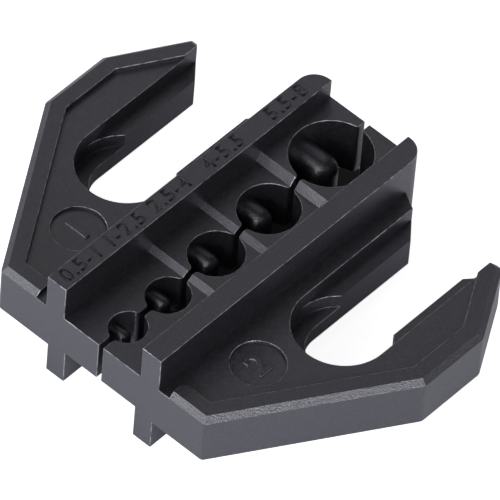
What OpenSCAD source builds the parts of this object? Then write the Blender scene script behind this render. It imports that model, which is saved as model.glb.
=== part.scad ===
// Crimping die set for a ratcheting crimper.
// Two die halves lie face to face with five round nests between them. Millimetres.
// X is the closing direction, Y runs along the row of nests, Z is up. The floor is at Z = 0.

/* [Die body] */
// Length of a die along the row of nests
die_len = 33; // [30:0.5:45]
// Thickness of the wing plate, up to the recessed field
plate_t = 4.7; // [3.6:0.1:8]
// Thickness of the nest block at the front, measured down from the field
block_t = 4.25; // [3.4:0.05:7]
// Distance from the middle of the set to the parting face of the bottom die as it lies
bottom_face = 0.11; // [0:0.01:1]
// Distance from the middle of the set to the parting face of the top die as it lies
top_face = 0.39; // [0.1:0.01:1]

/* [Seating ribs] */
// Distance from the middle of the set to the inner wall of the top rib
rib_in = 4.37; // [4.2:0.01:6]
// Width of the top rib
rib_w = 2.1; // [1.2:0.05:3]
// Height of the top rib above the field
rib_h = 3.77; // [2:0.05:6]
// Distance from the middle of the set to the inner wall of the bottom rib
foot_in = 4.0; // [3.8:0.02:6]
// Width of the bottom rib
foot_w = 2.0; // [1.2:0.05:3]
// Height of the bottom rib below the plate
foot_h = 3.25; // [2:0.05:6]
// Rounding of the outer corner at the far end of the ribs
rib_end_r = 1.85; // [0.5:0.05:2]

/* [Wing outline] */
// Half width of the set at the front face
front_x = 11.65; // [11:0.05:14]
// Half width of the set at its widest
wing_x = 21.84; // [20.5:0.02:26]
// Where the slanted side reaches the full width
wing_y1 = 16.25; // [12:0.05:20]
// Where the full width ends
wing_y2 = 23.45; // [21:0.05:26]
// Where the outer arm ends
tip_y = 30.3; // [29.5:0.1:31.5]
// Width of the flat end of the outer arm
tip_w = 0.62; // [0.5:0.02:2]
// Rounding of the upright corners of that end
tip_r = 0.35; // [0.1:0.05:0.5]
// Rounding of the upright corner at the front of the wing
front_r = 0.4; // [0.1:0.05:1.5]
// Rounding of the upright corners at the wide part of the wing
corner_r = 0.9; // [0.2:0.1:1.5]

/* [Rim and field] */
// Height of the rim above the field, and width of the chamfer outside it
rim_h = 0.53; // [0.3:0.01:0.9]
// Distance from the outer wall to the inner edge of the rim
rim_w = 1.88; // [1.2:0.02:2.2]
// Width of the open notch between the rib and the front end of the rim
notch_w = 1.15; // [0.6:0.05:2]
// Rounding of the rim's front end
rim_end_r = 0.7; // [0.2:0.05:1]

/* [Pin slot] */
// Distance from the middle of the set to the centre line of the slot
slot_x = 12.46; // [12:0.02:13.5]
// Centre of the round end of the slot
slot_y = 16.2; // [14:0.05:18]
// Radius of the narrow slot, for the shank of the retaining pin
slot_r = 2.97; // [2.5:0.01:3.4]
// Radius of the wide slot and of the round seat, for the head of the pin
seat_r = 4.4; // [4:0.02:4.8]
// Depth of the wide slot below the field
ledge_depth = 1.55; // [1:0.05:2.2]
// Depth of the round seat below the field
seat_depth = 2.95; // [2.4:0.05:3.4]
// Where the mouth of the slot starts to flare
mouth_y = 28.2; // [25:0.1:29]
// Where the strip between the top rib and the slot ends, beside the rib
strip_y = 30.8; // [29.8:0.1:31.1]
// Angle of the flare on the side of the outer arm, from the direction of the slot
mouth_flare = 40.6; // [20:0.2:50]

/* [Nests] */
// Radius of each nest, from the front to the far end
nest_r = [1.82, 2.1, 2.6, 2.9, 3.8]; // [1:0.01:3.9]
// Place of each nest along the die
nest_y = [3.17, 8.1, 14.03, 20.56, 28.3]; // [0:0.01:45]
// How far the centre of a nest lies beyond the middle of the set
nest_past = 0.16; // [0:0.01:0.6]
// Where each ramp between two floor levels starts
step_y = [10.4, 16.7, 23.65]; // [0:0.01:45]
// Length of each ramp
step_run = 0.58; // [0.2:0.02:1]
// Height of each floor level above the field
floor_h = [0.06, 0.5, 0.9, 1.7]; // [0:0.01:3]

/* [Indenters] */
// Radius of the round nose and crest of each indenter
nub_r = [0.64, 0.74, 0.98, 1.16, 1.46]; // [0.4:0.01:2]
// How far the nose of each indenter reaches beyond the parting face of the top die
nub_past = [0.62, 0.55, 0.52, 0.55, 0.94]; // [0:0.01:1]
// Depth below the field at which the upright nose turns into the round crest
nub_depth = [1.6, 1.64, 1.53, 1.38, 1.1]; // [1:0.01:2.5]

/* [Number pads] */
// Distance from the middle of the set to the centre of the pad
pad_x = 10.3; // [10:0.05:12]
// Centre of the pad along the die
pad_y = 8.1; // [6:0.05:10]
// Radius of the sunk round pad
pad_r = 2.42; // [1.5:0.02:2.6]
// Depth of the pad
pad_depth = 0.3; // [0.1:0.02:0.6]

/* [Hidden] */
$fn = 96;
steel = [0.2, 0.2, 0.22];
eps = 0.02;
far = 2;
rib_out = rib_in + rib_w;
foot_out = foot_in + foot_w;
field_z = foot_h + plate_t;
rim_z = field_z + rim_h;
rib_z = field_z + rib_h;
block_z = field_z - block_t;
ledge_z = field_z - ledge_depth;
seat_z = field_z - seat_depth;
notch_x = rib_out + notch_w;

// The outer wall of the wing, anticlockwise from the front of the block
front_in = [0, 0];
front_out = [front_x, 0];
wide_near = [wing_x, wing_y1];
wide_far = [wing_x, wing_y2];
mouth_out = [slot_x + slot_r, mouth_y];
tip_in = [mouth_out[0] + (tip_y - mouth_y) * tan(mouth_flare), tip_y];
tip_out = [tip_in[0] + tip_w, tip_y];
mouth_in = [slot_x - slot_r, mouth_y];
strip_out = [slot_x - seat_r, strip_y - corner_r];
strip_end = [rib_out, strip_y];
block_far = [rib_out - rib_end_r, die_len];

function unit(v) = v / norm(v);
function inward(a, b) = unit([a[1] - b[1], b[0] - a[0]]);
function inset(a, p, b, d) =
    let (m = inward(a, p), n = inward(p, b))
    p + d * (m + n) / (1 + m * n);

// Removes an upright corner outside an arc of radius r
module corner_cut(a, p, b, r, z0, z1) {
    u = unit(a - p);
    v = unit(b - p);
    half = acos(u * v) / 2;
    c = p + unit(u + v) * r / sin(half);
    t = r / tan(half);
    translate([0, 0, z0])
        difference() {
            linear_extrude(z1 - z0)
                polygon([p - unit(u + v) * r, p + u * t, c, p + v * t]);
            translate([c[0], c[1], -1])
                cylinder(r = r, h = z1 - z0 + 2);
        }
}

// Removes the outside of a 45 degree chamfer along the wall from a to b
module wall_chamfer(a, b) {
    run = norm(b - a);
    translate([a[0], a[1], field_z])
        rotate([0, 0, atan2(b[1] - a[1], b[0] - a[0])])
            translate([-far, 0, 0])
                rotate([90, 0, 90])
                    linear_extrude(run + 2 * far)
                        polygon([[-1, -1], [rim_h + 1, rim_h + 1], [-1, rim_h + 1]]);
}

module outline() {
    polygon([front_in, front_out, wide_near, wide_far, tip_out, tip_in, mouth_out,
        mouth_in, strip_out, strip_end, block_far, [0, die_len]]);
}

// The floor of the field, open at the front notch, along the rib and at the slot
module field() {
    q1 = inset(front_in, front_out, wide_near, rim_w);
    q2 = inset(front_out, wide_near, wide_far, rim_w);
    q3 = inset(wide_near, wide_far, tip_out, rim_w);
    run = unit(tip_out - wide_far);
    q4 = q3 + run * (q3[0] - slot_x) / (-run[0]);
    translate([0, 0, field_z])
        linear_extrude(rim_h + 1)
            polygon([[0, -far], [notch_x, -far], [notch_x, rim_w], q1, q2, q3, q4,
                [slot_x, die_len + far], [0, die_len + far]]);
}

module wing_plate() {
    difference() {
        translate([0, 0, foot_h])
            linear_extrude(plate_t + rim_h)
                outline();
        field();
        wall_chamfer(front_in, front_out);
        wall_chamfer(front_out, wide_near);
        wall_chamfer(wide_near, wide_far);
        wall_chamfer(wide_far, tip_out);
        wall_chamfer(tip_out, tip_in);
        corner_cut(front_in, front_out, wide_near, front_r, foot_h - 1, rim_z + 1);
        corner_cut(front_out, wide_near, wide_far, corner_r, foot_h - 1, rim_z + 1);
        corner_cut(wide_near, wide_far, tip_out, corner_r, foot_h - 1, rim_z + 1);
        corner_cut(wide_far, tip_out, tip_in, tip_r, foot_h - 1, rim_z + 1);
        corner_cut(tip_out, tip_in, mouth_out, tip_r, foot_h - 1, rim_z + 1);
        corner_cut(mouth_in, strip_out, strip_end, corner_r, foot_h - 1, rim_z + 1);
        corner_cut([notch_x, 0], [notch_x, rim_w], [front_x, rim_w], rim_end_r,
            field_z, rim_z + 1);
        translate([-far, -far, foot_h - 1])
            cube([rib_in + far, die_len + 2 * far, plate_t + 3]);
    }
}

// The stepped block between the ribs, drawn from the side
module nest_block(face) {
    z = [for (h = floor_h) field_z + h];
    translate([face, 0, 0])
        rotate([90, 0, 90])
            linear_extrude(rib_in - face + eps)
                polygon([[0, block_z], [die_len, block_z], [die_len, z[3]],
                    [step_y[2] + step_run, z[3]], [step_y[2], z[2]],
                    [step_y[1] + step_run, z[2]], [step_y[1], z[1]],
                    [step_y[0] + step_run, z[1]], [step_y[0], z[0]], [0, z[0]]]);
}

module ribs() {
    translate([rib_in, 0, block_z])
        cube([rib_w, die_len, rib_z - block_z]);
    translate([foot_in, 0, 0])
        cube([foot_w, die_len, block_z + 1]);
}

// The slot that takes the retaining pin: narrow below, wide above, with a round seat
module pin_slot() {
    run = die_len - slot_y + far;
    top = rim_z + 1;
    translate([slot_x, slot_y, foot_h - 1]) {
        cylinder(r = slot_r, h = plate_t + 3);
        translate([-slot_r, 0, 0])
            cube([2 * slot_r, run, plate_t + 3]);
    }
    translate([slot_x, slot_y, seat_z])
        cylinder(r = seat_r, h = top - seat_z);
    translate([slot_x - seat_r, slot_y, ledge_z])
        cube([2 * seat_r, run, top - ledge_z]);
}

module nests() {
    for (i = [0 : len(nest_r) - 1])
        translate([-nest_past, nest_y[i], -1])
            cylinder(r = nest_r[i], h = rib_z + 2);
}

// What both dies have, drawn on the right side of the gap, with its parting face at x = face
module die_half(face) {
    difference() {
        union() {
            wing_plate();
            nest_block(face);
            ribs();
        }
        pin_slot();
        nests();
        corner_cut([rib_out, 0], [rib_out, die_len], [0, die_len], rib_end_r, -1, rib_z + 1);
        corner_cut([foot_out, 0], [foot_out, die_len], [0, die_len], rib_end_r, -1, foot_h);
        translate([pad_x, pad_y, field_z - pad_depth])
            cylinder(r = pad_r, h = rim_h + 1);
    }
}

// Round-nosed ridges that dent the barrel, rooted in the nests of the top die
module indenters() {
    for (i = [0 : len(nub_r) - 1]) {
        r = nub_r[i];
        nose = nub_past[i] - top_face - r;
        root = -nest_r[i] - nest_past;
        crest = field_z - nub_depth[i];
        translate([nose, nest_y[i], crest])
            sphere(r = r);
        translate([nose, nest_y[i], block_z])
            cylinder(r = r, h = crest - block_z);
        translate([root, nest_y[i], crest])
            rotate([0, 90, 0])
                cylinder(r = r, h = nose - root);
        translate([root, nest_y[i] - r, block_z])
            cube([nose - root, 2 * r, crest - block_z]);
    }
}

module top_die() {
    color(steel)
        translate([0, -die_len / 2, 0])
            union() {
                mirror([1, 0, 0])
                    die_half(top_face);
                indenters();
            }
}

module bottom_die() {
    color(steel)
        translate([0, -die_len / 2, 0])
            die_half(bottom_face);
}

top_die();
bottom_die();
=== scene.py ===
"""Looks of the crimping die set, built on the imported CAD."""

import math

import bmesh
import bpy
from mathutils import Matrix, Vector


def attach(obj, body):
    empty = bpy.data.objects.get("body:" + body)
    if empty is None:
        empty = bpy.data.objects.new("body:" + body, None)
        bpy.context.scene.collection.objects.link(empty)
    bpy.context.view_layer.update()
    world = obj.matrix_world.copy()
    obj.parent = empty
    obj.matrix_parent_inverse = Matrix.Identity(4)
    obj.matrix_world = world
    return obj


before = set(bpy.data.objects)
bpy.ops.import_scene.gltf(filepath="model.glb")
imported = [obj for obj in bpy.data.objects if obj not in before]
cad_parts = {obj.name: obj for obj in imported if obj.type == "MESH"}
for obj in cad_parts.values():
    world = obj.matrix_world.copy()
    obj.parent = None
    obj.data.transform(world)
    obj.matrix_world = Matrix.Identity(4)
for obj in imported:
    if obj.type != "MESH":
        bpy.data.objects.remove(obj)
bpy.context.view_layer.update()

MM = 0.001
DIE_END = 33 * MM / 2

# The camera, worked out from the photograph
AZIMUTH = math.radians(38.655)
ELEVATION = math.radians(50.019)
ROLL = math.radians(5.19)
DISTANCE = 928.8 * MM
TARGET = Vector((-0.962, 3.203, 3.317)) * MM
LENS = 788.7
SENSOR = 36.0
CLIP_NEAR, CLIP_FAR = 0.01, 20

# How close together points are one, and how nearly level faces are one
MERGE = 0.0005 * MM
FLAT = math.radians(0.5)

# Rounded edges, and how steep an edge has to be to look sharp or to be worn
EDGE_ROUND = 0.06 * MM
EDGE_STEPS = 3
CORNER_ROUND = 0.28 * MM
CORNER_STEPS = 6
SHARP = math.radians(30)
WORN = math.radians(60)

# Where the edges lie that get a rounding of their own, or none
SAME = 0.002 * MM
LEVEL = 0.02 * MM
PARTING = 0.5 * MM
CORNERS_TO = 16.3 * MM
TIP_DEEP = 0.2 * MM
FOOT_HIGH = 3.25 * MM
RIB_OUT = 6.6 * MM
RIB_END = 1.9 * MM
SEAT_FLOOR = 5 * MM
LEDGE = 6.4 * MM

# Black oxide, and the metal that shows in spots on worn edges
STEEL_DARK, STEEL_PALE = (0.01, 0.01, 0.013, 1), (0.026, 0.026, 0.031, 1)
WORN_DARK, WORN_PALE = (0.016, 0.016, 0.02, 1), (0.55, 0.55, 0.57, 1)
MOTTLE = 0.3 * MM
WORN_SPOT = 0.6 * MM
BARE = 0.8
INDEX = 2.1
SHEEN = (0.9, 0.9, 1.0, 1)
GLOSS = 0.31
GLOSS_SPREAD = 0.03
GRAIN = 0.16 * MM
GRAIN_DEPTH = 0.038 * MM
NOISE_DETAIL = 3
NOISE_ROUGH = 0.6
NOISE_LOW, NOISE_HIGH = 0.35, 0.65
STEEL_SLOT, WORN_SLOT = 0, 1

# Numbers: a capital's share of the font size, and the space between figures
CAP = 0.69
SPACING = 1.12
CURVE_STEPS = 4

# Size ranges cut into the top die's rib
RANGES = ("0.5-1", "1-2.5", "2.5-4", "4-5.5", "5.5-8")
RANGE_AT = (3.05, 8.3, 13.85, 20.5, 28.4)
RIB_TOP = 11.72 * MM
RIB_MIDDLE = 5.42 * MM
RANGE_HIGH = 1.4 * MM
RANGE_SLOPE = 0.06 * MM
RANGE_GAIN = 0.035 * MM
CUT_DEPTH = 0.2 * MM

# Numbers raised in the round pads
PAD_AT = (10.3 * MM, 8.1 * MM)
PAD_FLOOR = 7.65 * MM
PAD_HIGH = 2.25 * MM
PAD_SLOPE = 0.07 * MM
PAD_GAIN = 0.08 * MM
PAD_RAISE = 0.2 * MM
TOP_FACE = 0.9

# Rings of round lights: a ring's elevation in degrees, then how bright its light at each azimuth looks
REACH = 0.8
LIGHT_RADIUS = math.radians(11)
LIGHTS = {
    "low": (8, {30: 1.8, 60: 0.15, 120: 0.5, 210: 7.6, 240: 4.3}),
    "side": (25, {129: 0.38, 257: 3.1, 283: 6, 334: 8.3}),
    "high": (42, {0: 0.7, 108: 0.43, 144: 0.68, 216: 1.6, 252: 2.3, 288: 1.1}),
    "top": (60, {120: 0.32, 300: 1.15}),
}
WORLD_GLOW = 0.02
WHITE = (1, 1, 1, 1)

# The white ground, and from where to where past the set's outline its painted reflection fades in: a floor
# glow that only the steel's reflections see, kept off near the set as painted shade
FLOOR_WIDE = 3
# The second paper colour is painted shade, for the floor's dark places
PAPER_WHITE, PAPER_SHADE = (0.82, 0.83, 0.92, 1), (0.04, 0.04, 0.045, 1)
PAPER_ROUGH = 0.9
PAPER_SHEEN = 0.1
PAPER_GLOW = 0.9
# A faint glow that all rays see in the painted shade
SHADE_GLOW = 0.003
# How bright that painted reflection glow is
MIRROR_GLOW = 0.21
CLEAR_FROM, CLEAR_TO = -2 * MM, 3 * MM

# Painted shadow on it, between the feet and behind the largest nest: from where to where it reaches across
# and along the set, how softly it ends both ways, and the shares of open sky between which it turns white
CHANNEL_SHADOW = ((-4.1 * MM, 4.1 * MM), (-13.5 * MM, 17.3 * MM), (0.5 * MM, 2.5 * MM), (0.5, 0.65))
SPOT_SHADOW = ((-4.1 * MM, -1.2 * MM), (14.5 * MM, 19.6 * MM), (0.6 * MM, 1 * MM), (0.86, 0.98))
SKY_REACH = 30 * MM
SKY_SAMPLES = 32

# The set's outline seen from above, as the directions and distances of its sides
SIDES = (
    ((0, 1), 16.5 * MM),
    ((0.847, -0.531), 18.6 * MM),
    ((1, 0), 21.8 * MM),
    ((0.869, 0.494), 22.4 * MM),
)


def joined(nodes, links, how, *values):
    """The result of a sum on up to three values, each a socket or a number."""
    node = nodes.new("ShaderNodeMath")
    node.operation = how
    for socket, value in zip(node.inputs, values):
        if isinstance(value, (int, float)):
            socket.default_value = value
        else:
            links.new(value, socket)
    return node.outputs["Value"]


def product(nodes, links, *values):
    """All the values multiplied together."""
    whole = values[0]
    for value in values[1:]:
        whole = joined(nodes, links, "MULTIPLY", whole, value)
    return whole


def inverse(nodes, links, share):
    """What a share leaves of 1."""
    return joined(nodes, links, "SUBTRACT", 1, share)


def near(nodes, links, value, middle, reach):
    """1 where the value lies within reach of the middle, and 0 elsewhere."""
    return joined(nodes, links, "COMPARE", value, middle, reach)


def ramp(nodes, links, how, value, start, end, to_start=0, to_end=1):
    """Goes from one result to another while the value goes from start to end, and stays there outside."""
    node = nodes.new("ShaderNodeMapRange")
    node.interpolation_type = how
    node.inputs["From Min"].default_value = start
    node.inputs["From Max"].default_value = end
    node.inputs["To Min"].default_value = to_start
    node.inputs["To Max"].default_value = to_end
    links.new(value, node.inputs["Value"])
    return node.outputs["Result"]


def mixed(nodes, links, share, first, second):
    """The first colour, mixed with the given share of the second."""
    node = nodes.new("ShaderNodeMix")
    node.data_type = "RGBA"
    node.inputs["A"].default_value = first
    node.inputs["B"].default_value = second
    links.new(share, node.inputs["Factor"])
    return node.outputs["Result"]


def noise(nodes, links, place, size):
    """Fine noise whose spots have about the given size."""
    spots = nodes.new("ShaderNodeTexNoise")
    spots.inputs["Scale"].default_value = 1 / size
    spots.inputs["Detail"].default_value = NOISE_DETAIL
    spots.inputs["Roughness"].default_value = NOISE_ROUGH
    links.new(place.outputs["Object"], spots.inputs["Vector"])
    return spots.outputs["Fac"]


def new_material(name):
    material = bpy.data.materials.new(name)
    material.use_nodes = True
    return material, material.node_tree.nodes, material.node_tree.links


def black_oxide(name, dark, pale, spot, bare):
    """Black oxide on steel with a fine cast grain. Pale spots of the given size and bareness lie on it."""
    material, nodes, links = new_material(name)
    shader = nodes["Principled BSDF"]
    shader.inputs["IOR"].default_value = INDEX
    shader.inputs["Specular Tint"].default_value = SHEEN
    place = nodes.new("ShaderNodeTexCoord")
    spots = ramp(nodes, links, "LINEAR", noise(nodes, links, place, spot), NOISE_LOW, NOISE_HIGH)
    links.new(mixed(nodes, links, spots, dark, pale), shader.inputs["Base Color"])
    if bare:
        links.new(joined(nodes, links, "MULTIPLY", spots, bare), shader.inputs["Metallic"])
    grain = noise(nodes, links, place, GRAIN)
    rough = ramp(nodes, links, "LINEAR", grain, NOISE_LOW, NOISE_HIGH,
                 GLOSS - GLOSS_SPREAD, GLOSS + GLOSS_SPREAD)
    links.new(rough, shader.inputs["Roughness"])
    bump = nodes.new("ShaderNodeBump")
    bump.inputs["Strength"].default_value = 1
    bump.inputs["Distance"].default_value = GRAIN_DEPTH
    links.new(grain, bump.inputs["Height"])
    links.new(bump.outputs["Normal"], shader.inputs["Normal"])
    return material


def chosen_edges(kind):
    """Picks the edges that a bevel takes: upright corners, inner edges round the seat or outer ones."""
    tree = bpy.data.node_groups.new(kind, "GeometryNodeTree")
    for way in ("INPUT", "OUTPUT"):
        tree.interface.new_socket("Geometry", in_out=way, socket_type="NodeSocketGeometry")
    nodes, links = tree.nodes, tree.links
    ends = nodes.new("GeometryNodeInputMeshEdgeVertices")
    first, second = nodes.new("ShaderNodeSeparateXYZ"), nodes.new("ShaderNodeSeparateXYZ")
    links.new(ends.outputs["Position 1"], first.inputs["Vector"])
    links.new(ends.outputs["Position 2"], second.inputs["Vector"])
    x, y, z = first.outputs
    other_x, other_y, other_z = second.outputs
    steep, outward = nodes.new("GeometryNodeInputMeshEdgeAngle").outputs
    along = near(nodes, links, x, other_x, SAME)
    if kind == "inner":
        picked = product(nodes, links, joined(nodes, links, "LESS_THAN", outward, -WORN),
                         near(nodes, links, z, SEAT_FLOOR, LEVEL))
    else:
        picked = joined(nodes, links, "GREATER_THAN", outward, WORN)
    if kind == "corner":
        upright = product(nodes, links, picked, along, near(nodes, links, y, other_y, SAME))
        parting = product(nodes, links, near(nodes, links, x, 0, PARTING),
                          near(nodes, links, y, 0, CORNERS_TO))
        tips = product(nodes, links, inverse(nodes, links, near(nodes, links, x, 0, RIB_OUT)),
                       near(nodes, links, y, DIE_END, TIP_DEEP))
        picked = product(nodes, links, upright, joined(nodes, links, "ADD", parting, tips))
    if kind == "outer":
        ledge = product(nodes, links, along, near(nodes, links, z, LEDGE, LEVEL))
        wedge = product(nodes, links, near(nodes, links, z, FOOT_HIGH, LEVEL),
                        near(nodes, links, other_z, FOOT_HIGH, LEVEL),
                        near(nodes, links, x, 0, RIB_OUT), near(nodes, links, y, DIE_END, RIB_END))
        picked = product(nodes, links, picked, inverse(nodes, links, ledge), inverse(nodes, links, wedge))
    left = joined(nodes, links, "SUBTRACT", joined(nodes, links, "GREATER_THAN", steep, SHARP), picked)
    plain = nodes.new("GeometryNodeRemoveAttribute")
    plain.inputs["Name"].default_value = "custom_normal"
    links.new(nodes.new("NodeGroupInput").outputs["Geometry"], plain.inputs["Geometry"])
    shape = plain.outputs["Geometry"]
    for form, attribute, value in (("FLOAT", "bevel_weight_edge", picked), ("BOOLEAN", "sharp_edge", left)):
        store = nodes.new("GeometryNodeStoreNamedAttribute")
        store.data_type = form
        store.domain = "EDGE"
        store.inputs["Name"].default_value = attribute
        links.new(shape, store.inputs["Geometry"])
        links.new(value, store.inputs["Value"])
        shape = store.outputs["Geometry"]
    links.new(shape, nodes.new("NodeGroupOutput").inputs["Geometry"])
    return tree


def bevel(die, edges, width, steps, slot):
    """Rounds the chosen edges. The new faces take the material in the slot."""
    choice = die.modifiers.new(edges.name + "_choice", "NODES")
    choice.node_group = edges
    edge = die.modifiers.new(edges.name, "BEVEL")
    edge.width = width
    edge.segments = steps
    edge.limit_method = "WEIGHT"
    edge.use_clamp_overlap = False
    edge.material = slot


def round_edges(die, corners, inner, outer):
    """Dissolves the CAD's flat triangles, rounds the edges and wears the outer ones."""
    weld = die.modifiers.new("weld", "WELD")
    weld.merge_threshold = MERGE
    flat = die.modifiers.new("flat", "DECIMATE")
    flat.decimate_type = "DISSOLVE"
    flat.angle_limit = FLAT
    bevel(die, corners, CORNER_ROUND, CORNER_STEPS, STEEL_SLOT)
    bevel(die, inner, EDGE_ROUND, EDGE_STEPS, STEEL_SLOT)
    bevel(die, outer, EDGE_ROUND, EDGE_STEPS, WORN_SLOT)


def number(name, text, high, thick, slope, gain, centre):
    """A solid number that reads along +Y with its top towards -X.

    The gain makes its strokes thicker, and its top and bottom are narrower than its middle by the slope.
    """
    data = bpy.data.curves.new(name, "FONT")
    data.body = text
    data.size = high / CAP
    data.align_x = "CENTER"
    data.align_y = "CENTER"
    data.space_character = SPACING
    data.offset = gain - slope
    data.extrude = thick / 2 - slope
    data.bevel_depth = slope
    data.bevel_resolution = 1
    data.resolution_u = CURVE_STEPS
    draft = bpy.data.objects.new(name + "_draft", data)
    bpy.context.scene.collection.objects.link(draft)
    bpy.context.view_layer.update()
    mesh = bpy.data.meshes.new_from_object(draft.evaluated_get(bpy.context.evaluated_depsgraph_get()))
    bpy.data.objects.remove(draft)
    bpy.data.curves.remove(data)
    solid = bmesh.new()
    solid.from_mesh(mesh)
    bmesh.ops.remove_doubles(solid, verts=solid.verts, dist=MERGE)
    bmesh.ops.recalc_face_normals(solid, faces=solid.faces)
    solid.to_mesh(mesh)
    solid.free()
    mesh.transform(Matrix.Translation(centre) @ Matrix.Rotation(math.pi / 2, 4, "Z"))
    piece = bpy.data.objects.new(name, mesh)
    bpy.context.scene.collection.objects.link(piece)
    return piece


def cut_ranges(die):
    """Cuts the size ranges into the top of the rib, beside the nests they belong to."""
    for i, (text, y) in enumerate(zip(RANGES, RANGE_AT)):
        centre = Vector((-RIB_MIDDLE, y * MM - DIE_END, RIB_TOP))
        cutter = number("range_%d" % (i + 1), text, RANGE_HIGH, 2 * CUT_DEPTH,
                        RANGE_SLOPE, RANGE_GAIN, centre)
        cutter.hide_render = True
        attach(cutter, "top_die")
        cut = die.modifiers.new(cutter.name, "BOOLEAN")
        cut.operation = "DIFFERENCE"
        cut.solver = "MANIFOLD"
        cut.object = cutter


def raise_pad_number(body, text, side, top, flank):
    """A raised number on the floor of the round pad, with a finish for its top and one for its flanks."""
    centre = Vector((side * PAD_AT[0], PAD_AT[1] - DIE_END, PAD_FLOOR))
    piece = number(body + "_number", text, PAD_HIGH, 2 * PAD_RAISE, PAD_SLOPE, PAD_GAIN, centre)
    piece.data.shade_flat()
    piece.data.materials.append(top)
    piece.data.materials.append(flank)
    for face in piece.data.polygons:
        face.material_index = int(abs(face.normal.z) < TOP_FACE)
    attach(piece, body)


def soft_light(name, azimuth, elevation, glow):
    """A round light that seen from the part has the given place and brightness."""
    turn, lift = math.radians(azimuth), math.radians(elevation)
    way = Vector((math.cos(lift) * math.cos(turn), math.cos(lift) * math.sin(turn), math.sin(lift)))
    data = bpy.data.lights.new(name, "AREA")
    data.shape = "DISK"
    data.size = 2 * REACH * math.tan(LIGHT_RADIUS)
    data.energy = glow * math.pi ** 2 * data.size ** 2 / 4
    light = bpy.data.objects.new(name, data)
    light.location = TARGET + way * REACH
    light.rotation_euler = (-way).to_track_quat("-Z", "Y").to_euler()
    bpy.context.scene.collection.objects.link(light)


def add_camera():
    look = Vector((-math.sin(AZIMUTH) * math.cos(ELEVATION),
                   math.cos(AZIMUTH) * math.cos(ELEVATION),
                   -math.sin(ELEVATION)))
    side = Vector((math.cos(AZIMUTH), math.sin(AZIMUTH), 0))
    lift = side.cross(look)
    right = side * math.cos(ROLL) + lift * math.sin(ROLL)
    up = lift * math.cos(ROLL) - side * math.sin(ROLL)
    turn = Matrix((right, up, -look)).transposed().to_4x4()
    data = bpy.data.cameras.new("camera")
    data.lens = LENS
    data.sensor_width = SENSOR
    data.clip_start = CLIP_NEAR
    data.clip_end = CLIP_FAR
    camera = bpy.data.objects.new("camera", data)
    camera.matrix_world = Matrix.Translation(TARGET - look * DISTANCE) @ turn
    bpy.context.scene.collection.objects.link(camera)
    bpy.context.scene.camera = camera


def band(nodes, links, value, low, high, soft):
    """1 between low and high and 0 outside, with a soft change at both ends."""
    middle, half = (low + high) / 2, (high - low) / 2
    away = joined(nodes, links, "ABSOLUTE", joined(nodes, links, "SUBTRACT", value, middle))
    return ramp(nodes, links, "SMOOTHSTEP", away, half - soft, half, 1, 0)


def covered(nodes, links, least, most):
    """1 where the open share of the sky over the floor is under least, and 0 where it is over most."""
    sky = nodes.new("ShaderNodeAmbientOcclusion")
    sky.samples = SKY_SAMPLES
    sky.inputs["Distance"].default_value = SKY_REACH
    return ramp(nodes, links, "SMOOTHSTEP", sky.outputs["AO"], least, most, 1, 0)


def painted_shadow(nodes, links, x, y, across, along, soft, sky):
    """Painted shadow: 1 in an oblong of the floor while the dies cover it, and 0 elsewhere."""
    return product(nodes, links, band(nodes, links, x, *across, soft[0]),
                   band(nodes, links, y, *along, soft[1]), covered(nodes, links, *sky))


def past_outline(nodes, links, x, y):
    """How far a place on the floor lies outside the set's outline."""
    across = joined(nodes, links, "ABSOLUTE", x)
    most = joined(nodes, links, "SUBTRACT", joined(nodes, links, "ABSOLUTE", y), SIDES[0][1])
    for (way_x, way_y), far in SIDES[1:]:
        part = joined(nodes, links, "MULTIPLY", across, way_x)
        part = joined(nodes, links, "ADD", part, joined(nodes, links, "MULTIPLY", y, way_y))
        most = joined(nodes, links, "MAXIMUM", most, joined(nodes, links, "SUBTRACT", part, far))
    return most


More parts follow.
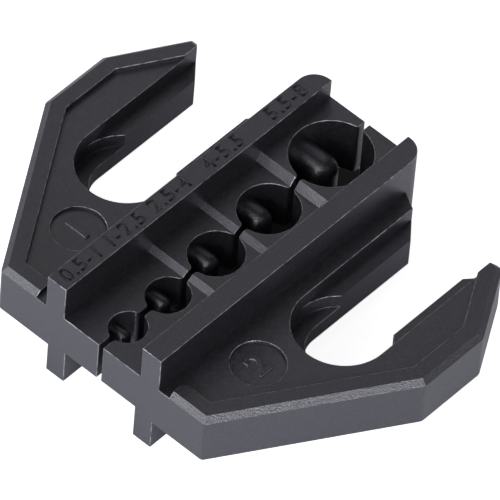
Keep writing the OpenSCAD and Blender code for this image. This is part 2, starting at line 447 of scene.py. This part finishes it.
def white_paper():
    """Pale paper that keeps shadows. It looks white but for its dark places, which are painted shadow, and
    it glows for the steel's reflections only, a painted reflection.
    """
    material, nodes, links = new_material("paper")
    place = nodes.new("ShaderNodeNewGeometry")
    axes = nodes.new("ShaderNodeSeparateXYZ")
    links.new(place.outputs["Position"], axes.inputs["Vector"])
    x, y = axes.outputs["X"], axes.outputs["Y"]
    # Painted shadow: the paper is made dark in the two oblongs while the dies cover them
    dark = joined(nodes, links, "MAXIMUM",
                  painted_shadow(nodes, links, x, y, *CHANNEL_SHADOW), painted_shadow(nodes, links, x, y, *SPOT_SHADOW))
    paper = nodes["Principled BSDF"]
    links.new(mixed(nodes, links, dark, PAPER_WHITE, PAPER_SHADE), paper.inputs["Base Color"])
    paper.inputs["Roughness"].default_value = PAPER_ROUGH
    paper.inputs["Specular IOR Level"].default_value = PAPER_SHEEN
    path = nodes.new("ShaderNodeLightPath")
    # The paper's white camera glow is cut in the painted shadow, which keeps only a faint glow of its own
    white = product(nodes, links, inverse(nodes, links, dark), PAPER_GLOW, path.outputs["Is Camera Ray"])
    seen = joined(nodes, links, "ADD", white, joined(nodes, links, "MULTIPLY", dark, SHADE_GLOW))
    # Painted reflection: a glow that only glossy rays see, faded out near the set's outline as painted
    # shade
    clear = ramp(nodes, links, "SMOOTHSTEP", past_outline(nodes, links, x, y), CLEAR_FROM, CLEAR_TO)
    painted_reflection = product(nodes, links, clear, MIRROR_GLOW, path.outputs["Is Glossy Ray"])
    glow = nodes.new("ShaderNodeEmission")
    glow.inputs["Color"].default_value = WHITE
    links.new(joined(nodes, links, "ADD", seen, painted_reflection), glow.inputs["Strength"])
    shown = nodes.new("ShaderNodeAddShader")
    links.new(paper.outputs["BSDF"], shown.inputs[0])
    links.new(glow.outputs["Emission"], shown.inputs[1])
    links.new(shown.outputs["Shader"], nodes["Material Output"].inputs["Surface"])
    return material


def add_floor():
    bpy.ops.mesh.primitive_plane_add(size=FLOOR_WIDE, location=(0, 0, 0))
    floor = bpy.context.object
    floor.name = "floor"
    floor.data.materials.append(white_paper())


def set_world():
    world = bpy.data.worlds.new("studio")
    bpy.context.scene.world = world
    world.use_nodes = True
    background = world.node_tree.nodes["Background"]
    background.inputs["Color"].default_value = WHITE
    background.inputs["Strength"].default_value = WORLD_GLOW


steel = black_oxide("black_oxide", STEEL_DARK, STEEL_PALE, MOTTLE, 0)
worn = black_oxide("worn_edge", WORN_DARK, WORN_PALE, WORN_SPOT, BARE)
chosen = [chosen_edges(kind) for kind in ("corner", "inner", "outer")]
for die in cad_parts.values():
    die.data.materials.clear()
    die.data.materials.append(steel)
    die.data.materials.append(worn)
    round_edges(die, *chosen)
cut_ranges(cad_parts["top_die"])
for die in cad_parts.values():
    normals = die.modifiers.new("normals", "WEIGHTED_NORMAL")
    normals.keep_sharp = True
raise_pad_number("top_die", "1", -1, steel, worn)
raise_pad_number("bottom_die", "2", 1, steel, worn)

add_floor()
set_world()
add_camera()
for ring, (elevation, glows) in LIGHTS.items():
    for azimuth, glow in glows.items():
        soft_light("%s_%d" % (ring, azimuth), azimuth, elevation, glow)
bpy.context.scene.view_settings.view_transform = "Standard"
